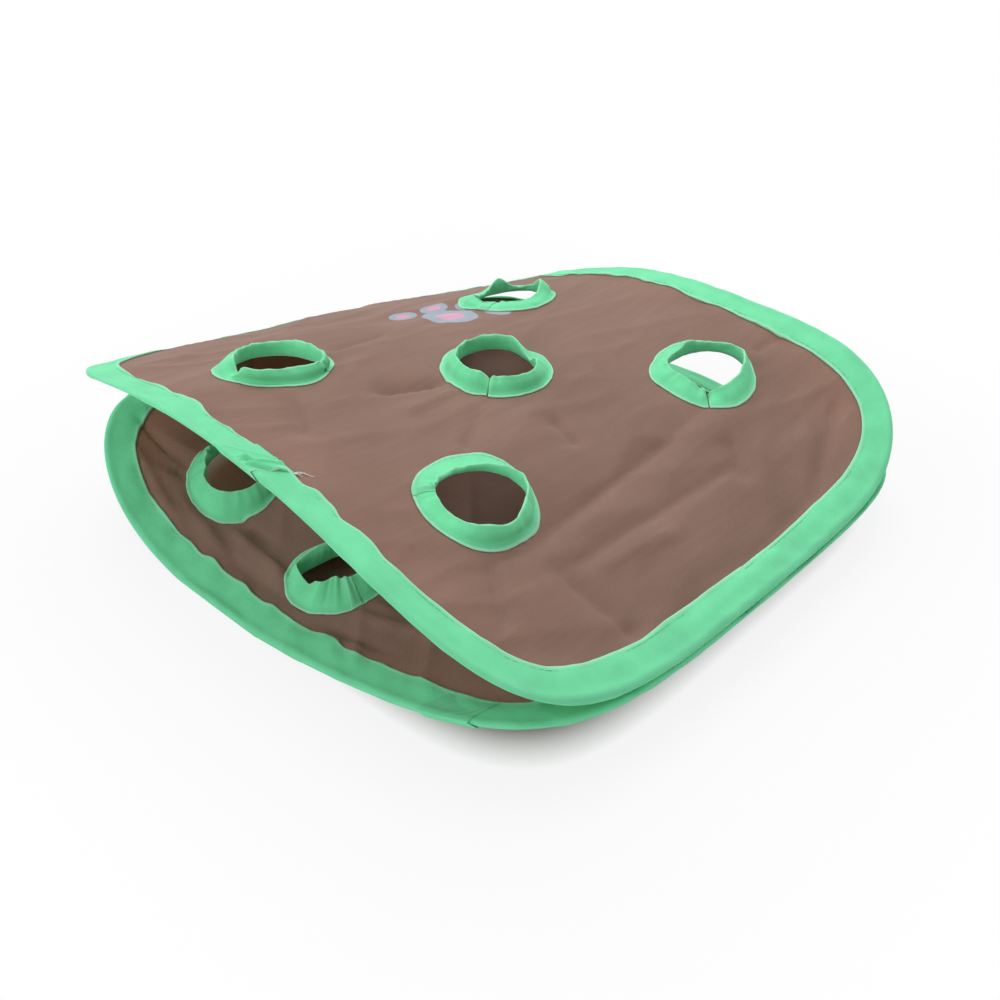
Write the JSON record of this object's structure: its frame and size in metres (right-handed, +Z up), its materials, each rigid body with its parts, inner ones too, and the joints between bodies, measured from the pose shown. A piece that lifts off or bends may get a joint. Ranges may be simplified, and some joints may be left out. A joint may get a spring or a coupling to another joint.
{
  "type": "pop-up cat play toy",
  "caption": "Low cloth tunnel of sprung panels sewn together along their sides, with round bound paw holes and an open mouth at each end, for a cat to reach into.",
  "frame": {"origin": "centre of the toy's outline, on the surface that it stands on", "axes": "+X across from the left side seam to the right one, +Y from the front mouth to the back mouth, +Z up"},
  "size_m": [0.3372, 0.3204, 0.107],
  "materials": {
    "brown_polyester": "matte woven polyester",
    "green_tape": "matte woven binding tape",
    "spring_steel": "bright drawn wire",
    "green_thread": "spun thread"
  },
  "bodies": {
    "lower_panel": {"lower_cloth": "brown_polyester", "lower_edge_binding": "green_tape", "lower_hoop": "spring_steel", "lower_hoop_ferrule": "spring_steel", "lower_tape_overlap": "green_tape", "lower_hole_binding_outer_front": "green_tape", "lower_hole_binding_inner_front": "green_tape", "lower_hole_binding_inner_back": "green_tape", "lower_hole_binding_outer_back": "green_tape", "left_seam_thread": "green_thread", "right_seam_thread": "green_thread"},
    "upper_left": {"upper_cloth_left": "brown_polyester", "upper_edge_binding_left": "green_tape", "upper_hoop_left": "spring_steel", "upper_hole_binding_left_front": "green_tape", "upper_hole_binding_left_back": "green_tape"},
    "upper_centre": {"upper_cloth_centre": "brown_polyester", "upper_edge_binding_centre_front": "green_tape", "upper_edge_binding_centre_back": "green_tape", "upper_hoop_centre_front": "spring_steel", "upper_hoop_centre_back": "spring_steel", "upper_hole_binding_centre": "green_tape", "upper_hoop_ferrule": "spring_steel", "upper_tape_overlap": "green_tape"},
    "upper_right": {"upper_cloth_right": "brown_polyester", "upper_edge_binding_right": "green_tape", "upper_hoop_right": "spring_steel", "upper_hole_binding_right_back": "green_tape", "upper_hole_binding_right_front": "green_tape"}
  },
  "joints": [
    {"name": "press_fold", "type": "hinge", "parent": "lower_panel", "child": "upper_left", "pos_m": [-0.169, 0, 0.031], "axis": [0, 0.995, -0.0995], "range_deg": [0, 15], "stiffness_Nm_per_rad": 2, "springref_deg": -11.46},
    {"name": "left_crease", "type": "hinge", "parent": "upper_left", "child": "upper_centre", "pos_m": [-0.03, 0, 0.0916], "axis": [0, 0.995, -0.0995], "range_deg": [-15, 0]},
    {"name": "right_crease", "type": "hinge", "parent": "upper_centre", "child": "upper_right", "pos_m": [0.03, 0, 0.0892], "axis": [0, 0.995, -0.0995], "range_deg": [-15, 0]}
  ],
  "couplings": [
    {"joint": "left_crease", "follows": "press_fold", "ratio": -1},
    {"joint": "right_crease", "follows": "press_fold", "ratio": -1}
  ]
}
